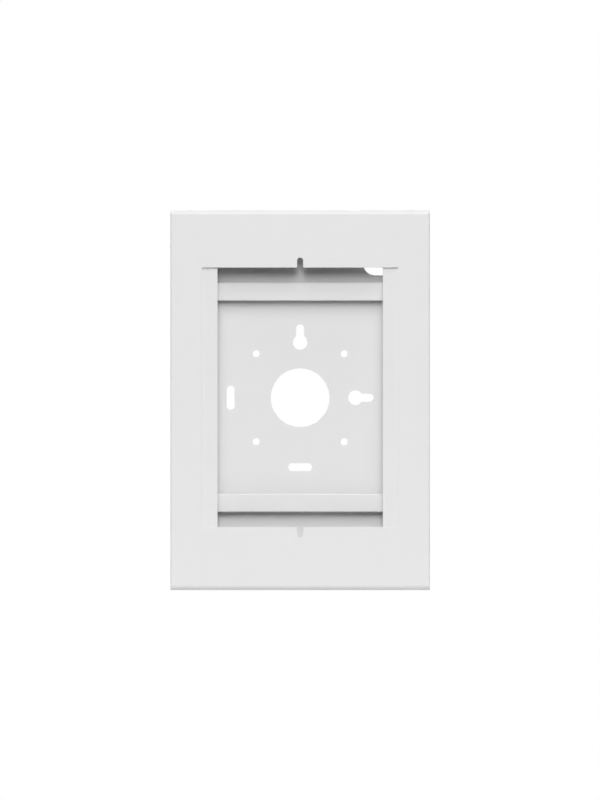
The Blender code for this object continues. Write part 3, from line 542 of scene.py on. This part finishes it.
# %% [markdown]
# ## Turned shapes
#
# The lock, its screw and washer, the studs, nuts and rivets are all rings of points round an
# axis. Only the radius and height of each point differ, and they may depend on the ring and on
# the angle: that makes a thread, a hexagon, a pair of flats or a cross recess.

# %% Rings round an axis
THREAD_DEPTH = 0.6
STEPS_TO_A_PITCH = 8


def angles(around):
    """Even angles round a whole turn."""
    return np.linspace(0, 2 * np.pi, around, endpoint=False)


def rings(radius, along, centre, axis, around):
    """Rings of points round an axis, one row to a ring and one column to an angle.

    A point is the centre, plus its radius times the cosine and the sine of its angle across
    the axis. Its place along the axis is given as it is.
    """
    radius, along = np.broadcast_arrays(radius, along, np.empty((len(radius), around)))[:2]
    grid = np.empty((*radius.shape, 3))
    first, second = (i for i in range(3) if i != axis)
    grid[..., first] = centre[first] + radius * np.cos(angles(around))
    grid[..., second] = centre[second] + radius * np.sin(angles(around))
    grid[..., axis] = along
    return grid


def with_poles(grid):
    """Closes both ends of a tube of rings: each gets a last ring shrunk to its middle."""
    ends = [np.broadcast_to(ring.mean(axis=0), ring.shape)[None] for ring in (grid[0], grid[-1])]
    return np.concatenate([ends[0], grid, ends[1]])


def profile_rings(profile, centre, axis, around):
    """A profile of (radius, place along the axis) carried round the axis, a ring to a point."""
    profile = np.array(profile)
    return rings(profile[:, :1], profile[:, 1:], centre, axis, around)


def thread(along, around, crest, pitch):
    """The radius of a screw thread: the crest less a V whose depth is a share of the pitch.

    The V's place is the distance along less the share of a turn, in pitches, so that it winds
    on by one pitch a turn.
    """
    phase = (along / pitch - angles(around) / (2 * np.pi)) % 1.0
    return crest - THREAD_DEPTH * pitch * (1 - np.abs(2 * phase - 1))


def threaded_radius(length, around, crest, pitch, tip, tip_first=False):
    """How far along a thread its rings lie, and their radius at every angle.

    The radius is the smaller of the thread's and a cone's. The cone loses as much radius as it
    gains in length, over a tip at the thread's end or at its start.
    """
    along = np.linspace(0, length, round(length / pitch * STEPS_TO_A_PITCH) + 1)[:, None]
    to_tip = along if tip_first else length - along
    cone = crest - np.clip(tip - to_tip, 0, tip)
    return along, np.minimum(thread(along, around, crest, pitch), cone)


def solid_box(name):
    """A solid's lowest and highest corners."""
    return tuple(Vector(corner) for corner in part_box(name))


# %% [markdown]
# ## The hole for the lock
#
# The lock's head is let into the bottom wall, in a hole with a small bevel outside. A grid has
# no place for a hole across it, so this one is cut with a Boolean modifier. It is applied at
# once, because the cutter is a tool and not a piece of the mount.

# %% Lock hole
LOCK_HOLE_RADIUS, LOCK_HOLE_BEVEL = 0.0078, 0.0002
AROUND_HOLE = 64


def closed_mesh(name, grid):
    """A mesh from one grid that closes round its columns and ends in poles."""
    mesh = bpy.data.meshes.new(name)
    mesh.from_pydata(grid.reshape(-1, 3).tolist(), [], cells(grid, False, True, 0).tolist())
    tidy(mesh)
    return mesh


def cut_away(piece, grid):
    """Takes a closed grid's shape out of a piece, and leaves no modifier or tool behind."""
    tool = bpy.data.objects.new("cutter", closed_mesh("cutter", grid))
    bpy.context.scene.collection.objects.link(tool)
    piece.modifiers.clear()
    boolean = piece.modifiers.new("hole", "BOOLEAN")
    boolean.operation = "DIFFERENCE"
    boolean.solver = "EXACT"
    boolean.object = tool
    whole = piece.data
    seen = piece.evaluated_get(bpy.context.evaluated_depsgraph_get())
    piece.data = bpy.data.meshes.new_from_object(seen)
    piece.modifiers.clear()
    for mesh in (whole, tool.data):
        bpy.data.meshes.remove(mesh)
    piece.data.name = piece.name
    weigh(piece)


wall, bevel = cover_low.z, LOCK_HOLE_BEVEL
cutter = [
    (LOCK_HOLE_RADIUS + bevel, wall - SHEET),
    (LOCK_HOLE_RADIUS + bevel, wall),
    (LOCK_HOLE_RADIUS, wall + bevel),
    (LOCK_HOLE_RADIUS, wall + 2 * SHEET),
]
cut_away(cover_shell, with_poles(profile_rings(cutter, lock_axis, 2, AROUND_HOLE)))
print("cover shell", len(cover_shell.data.polygons), "faces after the hole")

# %% [markdown]
# ## Weld studs
#
# The adapters are held by nuts on four M4 studs welded inside the cover's face. Each is a
# threaded rod, and a cone caps its radius towards the tip, to lead the nut on.

# %% Weld studs
STUD_RADIUS, STUD_PITCH, STUD_LENGTH = 0.002, 0.0007, 0.008
STUD_TIP = 0.0006
AROUND_STUD = 24

CORNERS = ("lower_left", "lower_right", "upper_left", "upper_right")
stud_foot = cover_low.y + SHEET
stud_axes = [sum(solid_box("adapter_nut_" + corner), Vector()) / 2 for corner in CORNERS]
along, radius = threaded_radius(STUD_LENGTH, AROUND_STUD, STUD_RADIUS, STUD_PITCH, STUD_TIP)
studs = [
    (with_poles(rings(radius, stud_foot + along, stud_axis, 1, AROUND_STUD)), False, True)
    for stud_axis in stud_axes
]
surface_piece("weld_studs", studs, zinc, "cover")

# %% [markdown]
# ## Nuts
#
# A hexagon nut is a hexagon and a cone at once: at every angle the outer radius is the smaller
# of the hexagon's radius there and the cone's radius at that height, which gives the curved
# chamfer on each corner. Going from the bore over one face, down the side and back over the
# other face closes the grid both ways.

# %% Hexagon nuts
AROUND_NUT, CHAMFER_RINGS = 48, 6
ADAPTER_NUT_ACROSS, ADAPTER_NUT_SLACK = 0.007, 0.00015
FACE_SHARE, CHAMFER_SHARE = 0.475, 0.066
NUT_LEAD = 0.0003
NUT_SHARP_ANGLE = 25


def hexagon_nut(low, high, axis, across, bore):
    """A hexagon nut that fills a box. A flat lies at every whole sixth of a turn.

    At an angle a from the nearest flat's middle the hexagon's radius is half the distance
    across flats over the cosine of a. The flat face's radius and the chamfer's height are
    shares of that distance, and the chamfer's cone gains root 3 in radius for each 1 in height.
    """
    off_flat = (angles(AROUND_NUT) + np.pi / 6) % (np.pi / 3) - np.pi / 6
    drop = np.linspace(0, CHAMFER_SHARE * across, CHAMFER_RINGS)[:, None]
    chamfer = FACE_SHARE * across + math.sqrt(3) * drop
    outside = np.minimum(across / 2 / np.cos(off_flat), chamfer)
    inside = np.full((2, AROUND_NUT), bore) + [[0], [NUT_LEAD]]
    radius = np.concatenate([inside, outside])
    along = np.concatenate([[[NUT_LEAD], [0]], drop])
    radius = np.concatenate([radius, radius[::-1]])
    along = np.concatenate([low[axis] + along, high[axis] - along[::-1]])
    return rings(radius, along, (low + high) / 2, axis, AROUND_NUT)


for corner in CORNERS:
    solid = "adapter_nut_" + corner
    bore = STUD_RADIUS + ADAPTER_NUT_SLACK
    grid = [(hexagon_nut(*solid_box(solid), 1, ADAPTER_NUT_ACROSS, bore), True, True)]
    surface_piece(
        "nut_" + corner, grid, zinc, "cover", [solid], sharp=NUT_SHARP_ANGLE
    )

# %% [markdown]
# ## Rivets
#
# Each foot of a bar is held by a blind rivet: a low dome with a dimple where its pin snapped
# off, and a shank that ends flush with the back of the plate. Its profile is drawn once, from
# the middle of the dimple to the end of the shank, and carried round the axis.

# %% Rivets
RIVET_RADIUS, RIVET_HEAD_HEIGHT, RIVET_DOME = 0.0032, 0.0012, 0.00105
DIMPLE_RADIUS, DIMPLE_DEPTH, DIMPLE_ROUND = 0.001, 0.0004, 0.0001
SHANK_RADIUS, SHANK_BEVEL = 0.0016, 0.0002
RIVET_EDGE = 0.00005
AROUND_RIVET, DIMPLE_POINTS, DOME_POINTS = 36, 4, 10


def rivet_profile(front, back):
    """Points (radius, y) of a rivet's section between the two ends of its box.

    The dimple has a round at its floor and one at its mouth. The dome is a quarter of an
    ellipse: as an angle runs from 0 to 90 degrees, the radius grows from the dimple's mouth to
    the head's edge with its sine, and the surface falls back with 1 less its cosine.
    """
    mouth = DIMPLE_RADIUS + DIMPLE_ROUND
    floor_centre = (DIMPLE_RADIUS - DIMPLE_ROUND, DIMPLE_DEPTH - DIMPLE_ROUND)
    floor_round = arc(floor_centre, DIMPLE_ROUND, 90, 0, DIMPLE_POINTS)
    mouth_round = arc((mouth, DIMPLE_ROUND), DIMPLE_ROUND, 180, 270, DIMPLE_POINTS)
    turn = np.radians(np.linspace(0, 90, DOME_POINTS)[1:])
    dome = np.stack(
        [mouth + (RIVET_RADIUS - mouth) * np.sin(turn), RIVET_DOME * (1 - np.cos(turn))], axis=1
    )
    head_back = (RIVET_RADIUS - RIVET_EDGE, SHANK_RADIUS)
    under_head = [(radius, RIVET_HEAD_HEIGHT) for radius in head_back]
    length = back - front
    shank = [(SHANK_RADIUS, length - SHANK_BEVEL), (SHANK_RADIUS - SHANK_BEVEL, length)]
    return np.concatenate([floor_round, mouth_round, dome, under_head, shank]) + (0, front)


for bar in ("upper", "lower"):
    for side in ("left", "right"):
        solid = f"{bar}_bar_rivet_{side}"
        low, high = solid_box(solid)
        profile = rivet_profile(low.y, high.y)
        grid = with_poles(profile_rings(profile, (low + high) / 2, 1, AROUND_RIVET))
        surface_piece(
            f"{bar}_rivet_{side}",
            [(grid, False, True)],
            zinc,
            "wall_unit",
            [solid],
            sharp=50,
        )

# %% [markdown]
# ## The lock's body and nut
#
# A cam lock is a round head on a threaded barrel with two flats, which stop it from turning in
# its hole. The flats are made by holding each point's x to half their distance. The nut on the
# barrel, which clamps the lock to a doubler plate inside the cover, is the same hexagon as the
# small nuts, with its axis upright.

# %% Lock body
HEAD_RADIUS, HEAD_THICKNESS, HEAD_BEVEL = 0.0075, 0.0015, 0.0003
BARREL_RADIUS, BARREL_PITCH, BARREL_HALF_FLATS = 0.0055, 0.001, 0.0048
BORE_RADIUS, BARREL_TIP = 0.004, 0.0005
AROUND_LOCK = 96

low, high = solid_box("lock_housing")
head = [
    (BORE_RADIUS, HEAD_BEVEL),
    (BORE_RADIUS + HEAD_BEVEL / 2, 0),
    (HEAD_RADIUS - HEAD_BEVEL, 0),
    (HEAD_RADIUS, HEAD_BEVEL),
    (HEAD_RADIUS, HEAD_THICKNESS - HEAD_BEVEL / 2),
    (HEAD_RADIUS - HEAD_BEVEL / 2, HEAD_THICKNESS),
    (BARREL_RADIUS, HEAD_THICKNESS),
]
head_rings = profile_rings(head, lock_axis, 2, AROUND_LOCK) + (0, 0, low.z)
along, radius = threaded_radius(
    high.z - low.z - HEAD_THICKNESS, AROUND_LOCK, BARREL_RADIUS, BARREL_PITCH, BARREL_TIP
)
barrel = rings(radius, low.z + HEAD_THICKNESS + along, lock_axis, 2, AROUND_LOCK)
barrel[..., 0] = np.clip(barrel[..., 0], lock_x - BARREL_HALF_FLATS, lock_x + BARREL_HALF_FLATS)
bore_end = profile_rings([(BORE_RADIUS, high.z)], lock_axis, 2, AROUND_LOCK)
grid = [(np.concatenate([head_rings, barrel, bore_end]), True, True)]
surface_piece("lock_body", grid, nickel, "cover", ["lock_housing"], sharp=30)

# %% Barrel nut
LOCK_NUT_ACROSS, LOCK_NUT_SLACK = 0.014, 0.0002

bore = BARREL_RADIUS + LOCK_NUT_SLACK
grid = [(hexagon_nut(*solid_box("lock_nut"), 2, LOCK_NUT_ACROSS, bore), True, True)]
surface_piece(
    "barrel_nut", grid, zinc, "cover", ["lock_nut"], sharp=NUT_SHARP_ANGLE
)

# %% [markdown]
# ## The cam's washer and screw
#
# The cam is held on the plug's square by a washer and a pan-head screw. The screw's top is a
# low dome with a cross pressed into it: there a point sinks by the depth of the cross, which
# falls off over a short slope beside each arm and at its end.

# %% Washer
WASHER_BORE, WASHER_EDGE = 0.0016, 0.0001
AROUND_WASHER = 48

low, high = solid_box("cam_washer")
outer = (high.x - low.x) / 2
face = [(WASHER_BORE, WASHER_EDGE), (WASHER_BORE + WASHER_EDGE, 0)]
face += [(outer - WASHER_EDGE, 0), (outer, WASHER_EDGE)]
profile = [(r, low.z + z) for r, z in face] + [(r, high.z - z) for r, z in face[::-1]]
grid = [(profile_rings(profile, lock_axis, 2, AROUND_WASHER), True, True)]
surface_piece("screw_washer", grid, zinc, "lock_core", ["cam_washer"], sharp=50)

# %% Screw
SCREW_RADIUS, SCREW_PITCH, SCREW_TIP = 0.0013, 0.00045, 0.0003
SCREW_HEAD_RADIUS, SCREW_HEAD_HEIGHT, SCREW_DOME = 0.003, 0.002, 0.0005
HEAD_UNDER_BEVEL, HEAD_TOP_BEVEL, TOP_INSET = 0.0002, 0.0001, 0.00005
CROSS_HALF_WIDTH, CROSS_REACH, CROSS_DEPTH = 0.00042, 0.00165, 0.0011
CROSS_SIDE_SLOPE, CROSS_END_SLOPE = 0.0001, 0.0004
AROUND_SCREW, TOP_RINGS = 96, 36

low, high = solid_box("cam_screw")
shank_length = high.z - low.z - SCREW_HEAD_HEIGHT
along, radius = threaded_radius(
    shank_length, AROUND_SCREW, SCREW_RADIUS, SCREW_PITCH, SCREW_TIP, tip_first=True
)
shank = rings(radius, low.z + along, lock_axis, 2, AROUND_SCREW)
under_head = low.z + shank_length
side = [
    (SCREW_HEAD_RADIUS - HEAD_UNDER_BEVEL, under_head),
    (SCREW_HEAD_RADIUS, under_head + HEAD_UNDER_BEVEL),
    (SCREW_HEAD_RADIUS, high.z - SCREW_DOME - HEAD_TOP_BEVEL),
]
side = profile_rings(side, lock_axis, 2, AROUND_SCREW)
top_radius = np.linspace(SCREW_HEAD_RADIUS - TOP_INSET, TOP_INSET, TOP_RINGS)[:, None]
turn = angles(AROUND_SCREW)
offsets = np.abs([top_radius * np.cos(turn), top_radius * np.sin(turn)])
across, along_arm = np.sort(offsets, axis=0)
slope = np.clip((CROSS_HALF_WIDTH - across) / CROSS_SIDE_SLOPE, 0, 1)
slope *= np.clip((CROSS_REACH - along_arm) / CROSS_END_SLOPE, 0, 1)
height = high.z - SCREW_DOME * (top_radius / SCREW_HEAD_RADIUS) ** 2 - CROSS_DEPTH * slope
top = rings(top_radius, height, lock_axis, 2, AROUND_SCREW)
grid = [(with_poles(np.concatenate([shank, side, top])), False, True)]
surface_piece("cross_head_screw", grid, zinc, "lock_core", ["cam_screw"], sharp=35)

# %% [markdown]
# ## Rounded edges on sheet and plastic
#
# Paint draws back from a sharp edge and builds up beside it, and a mould can't be sharp either,
# so no edge here is a knife edge. These pieces keep the solid's own shape: a copy of each is
# welded from its loose triangles, its flats are joined up, and a Bevel modifier rounds every
# edge that turns by more than 35 degrees.

# %% Softened copies
ROUNDED_ANGLE, FLAT_ANGLE = 35, 1
NEVER_SHARP = 180


def softened(solid, name, finish, body, slot, width):
    """A copy of a solid with its edges rounded to a width."""
    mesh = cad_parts[solid].data.copy()
    mesh.name = name
    tidy(mesh, math.radians(FLAT_ANGLE))
    piece = dressed(name, mesh, finish, body, [solid], sharp=NEVER_SHARP)
    piece.modifiers.remove(piece.modifiers["weighted_normals"])
    rounding = piece.modifiers.new("rounded_edges", "BEVEL")
    rounding.width = width
    rounding.segments = 2
    rounding.limit_method = "ANGLE"
    rounding.angle_limit = math.radians(ROUNDED_ANGLE)
    rounding.harden_normals = False
    weigh(piece)
    return piece


COAT, PLASTIC, NICKEL = "white_powder_coat", "white_plastic", "nickel_plate"
SOFTENED = (
    ("wall_plate", "back_plate", plate_paint, "wall_unit", COAT, 0.0002),
    ("upper_support_bar", "upper_bar", plate_paint, "wall_unit", COAT, 0.00015),
    ("lower_support_bar", "lower_bar", plate_paint, "wall_unit", COAT, 0.00015),
    ("lock_keeper", "cam_keeper", plate_paint, "wall_unit", COAT, 0.0002),
    ("left_hook", "hook_left", plate_paint, "cover", COAT, 0.0002),
    ("right_hook", "hook_right", plate_paint, "cover", COAT, 0.0002),
    ("lock_plate", "lock_doubler", plate_paint, "cover", COAT, 0.0002),
    ("left_adapter", "adapter_left", adapter_plastic, "cover", PLASTIC, 0.0003),
    ("right_adapter", "adapter_right", adapter_plastic, "cover", PLASTIC, 0.0003),
    ("lock_plug", "lock_cylinder", nickel, "lock_core", NICKEL, 0.00012),
    ("lock_cam", "cam", zinc, "lock_core", "zinc_plate", 0.0002),
)
for row in SOFTENED:
    softened(*row)

# %% [markdown]
# ## Studio
#
# The background is pure white wherever the camera looks past the mount, which the world shows
# to the camera and in gloss, but not to the surfaces it would light. A pale floor well below
# the mount takes its shadow. It turns into the same white all round, so no horizon shows, and
# from underneath it can be seen through, so that it never hides the mount.

# %% World
ROOM = 0.03
PURE_WHITE = (1, 1, 1, 1)


def seen_directly(tree):
    """1 for the rays that see the background: those of the camera, a gloss or a glass."""
    rays = node(tree, "LightPath").outputs
    seen = larger(tree, rays["Is Camera Ray"], rays["Is Glossy Ray"])
    return larger(tree, seen, rays["Is Transmission Ray"])


def larger(tree, one, other):
    """The larger of two values."""
    made = node(tree, "Math", {"operation": "MAXIMUM"})
    feed(tree, made.inputs[0], one)
    feed(tree, made.inputs[1], other)
    return made.outputs[0]


def mixed(tree, share, first, second):
    """Two shaders mixed: a share of 0 is the first, and 1 the second."""
    made = node(tree, "MixShader")
    for socket, output in zip(made.inputs, (share, first, second)):
        feed(tree, socket, output)
    return made.outputs[0]


world = bpy.data.worlds.new("studio")
bpy.context.scene.world = world
world.use_nodes = True
sky = world.node_tree
sky.nodes.clear()
room = node(sky, "Background", Color=PURE_WHITE, Strength=ROOM).outputs[0]
paper = node(sky, "Background", Color=PURE_WHITE, Strength=1.0).outputs[0]
node(sky, "OutputWorld", Surface=mixed(sky, seen_directly(sky), room, paper))
print("world:", world.name, "with", len(sky.nodes), "nodes")

# %% Floor
FLOOR_Z, FLOOR_REACH = -0.42, 6.0
FADE_START, FADE_END = 0.3, 1.2
PALE = (0.9, 0.9, 0.9, 1)

floor_mesh = bpy.data.meshes.new("floor")
corner_signs = np.array([(-1, -1), (1, -1), (1, 1), (-1, 1)])
corners = np.column_stack([corner_signs * FLOOR_REACH, np.full(4, FLOOR_Z)])
floor_mesh.from_pydata(corners.tolist(), [], [(0, 1, 2, 3)])
floor = bpy.data.objects.new("floor", floor_mesh)
bpy.context.scene.collection.objects.link(floor)

floor_mat, tree, floor_shader, coords = new_material("pale_floor", roughness=0.9)
feed(tree, floor_shader.inputs["Base Color"], PALE)
level = node(tree, "VectorMath", {"operation": "MULTIPLY"})
feed(tree, level.inputs[0], coords)
feed(tree, level.inputs[1], (1, 1, 0))
reach = node(tree, "VectorMath", {"operation": "LENGTH"})
feed(tree, reach.inputs[0], level.outputs["Vector"])
fade = node(
    tree,
    "MapRange",
    {"interpolation_type": "SMOOTHERSTEP"},
    Value=reach.outputs["Value"],
    From_Min=FADE_START,
    From_Max=FADE_END,
).outputs["Result"]
white = node(tree, "Emission", Strength=seen_directly(tree)).outputs[0]
from_above = mixed(tree, fade, floor_shader.outputs[0], white)
clear = node(tree, "BsdfTransparent").outputs[0]
underside = node(tree, "NewGeometry").outputs["Backfacing"]
whole_floor = mixed(tree, underside, from_above, clear)
feed(tree, tree.nodes["Material Output"].inputs["Surface"], whole_floor)
floor_mesh.materials.append(floor_mat)
print("floor", FLOOR_Z, "m, white beyond", FADE_END, "m")

# %% [markdown]
# ## Light
#
# Seven soft boxes light the mount. The main one hangs a little above the lens and has a
# brighter core, so the shadows under the bars run straight down and fade, and light falls
# through the top notch as a small bright fan. A broad one higher up softens the shadows, and
# one overhead makes the top bend brighter than the face. Weak ones at the sides and behind keep
# the other walls white. The room's own light is faint, and the recess above the bar stays dark.

# %% Soft boxes


def soft_box(name, elevation, turn, distance, wide, tall, level):
    """A rectangular lamp seen from the mount at an elevation and a turn from the front.

    Its size is given as the degrees that it covers, and its level is the brightness of its
    surface, so the power is level times pi times the area.
    """
    up, aside = math.radians(elevation), math.radians(turn)
    place = distance * Vector(
        (math.sin(aside) * math.cos(up), -math.cos(aside) * math.cos(up), math.sin(up))
    )
    data = bpy.data.lights.new(name, "AREA")
    data.shape = "RECTANGLE"
    data.size = 2 * distance * math.tan(math.radians(wide / 2))
    data.size_y = 2 * distance * math.tan(math.radians(tall / 2))
    data.energy = level * math.pi * data.size * data.size_y
    lamp = bpy.data.objects.new(name, data)
    lamp.location = place
    lamp.rotation_euler = (-place).to_track_quat("-Z", "Y").to_euler()
    bpy.context.scene.collection.objects.link(lamp)
    print(name, "power", round(data.energy, 1), "W")


soft_box("front_box", 22, 0, 4.0, 20, 24, 5.5)
soft_box("front_core", 22, 0, 3.9, 11, 24, 10.4)
soft_box("high_box", 48, 0, 4.0, 30, 26, 4.45)
soft_box("top_box", 78, 0, 3.0, 60, 20, 1.6)
soft_box("left_box", 15, -80, 4.0, 30, 40, 0.8)
soft_box("right_box", 15, 80, 4.0, 30, 40, 0.8)
soft_box("rear_box", 25, 180, 3.0, 40, 30, 5.0)
bpy.context.scene.view_settings.view_transform = "Standard"
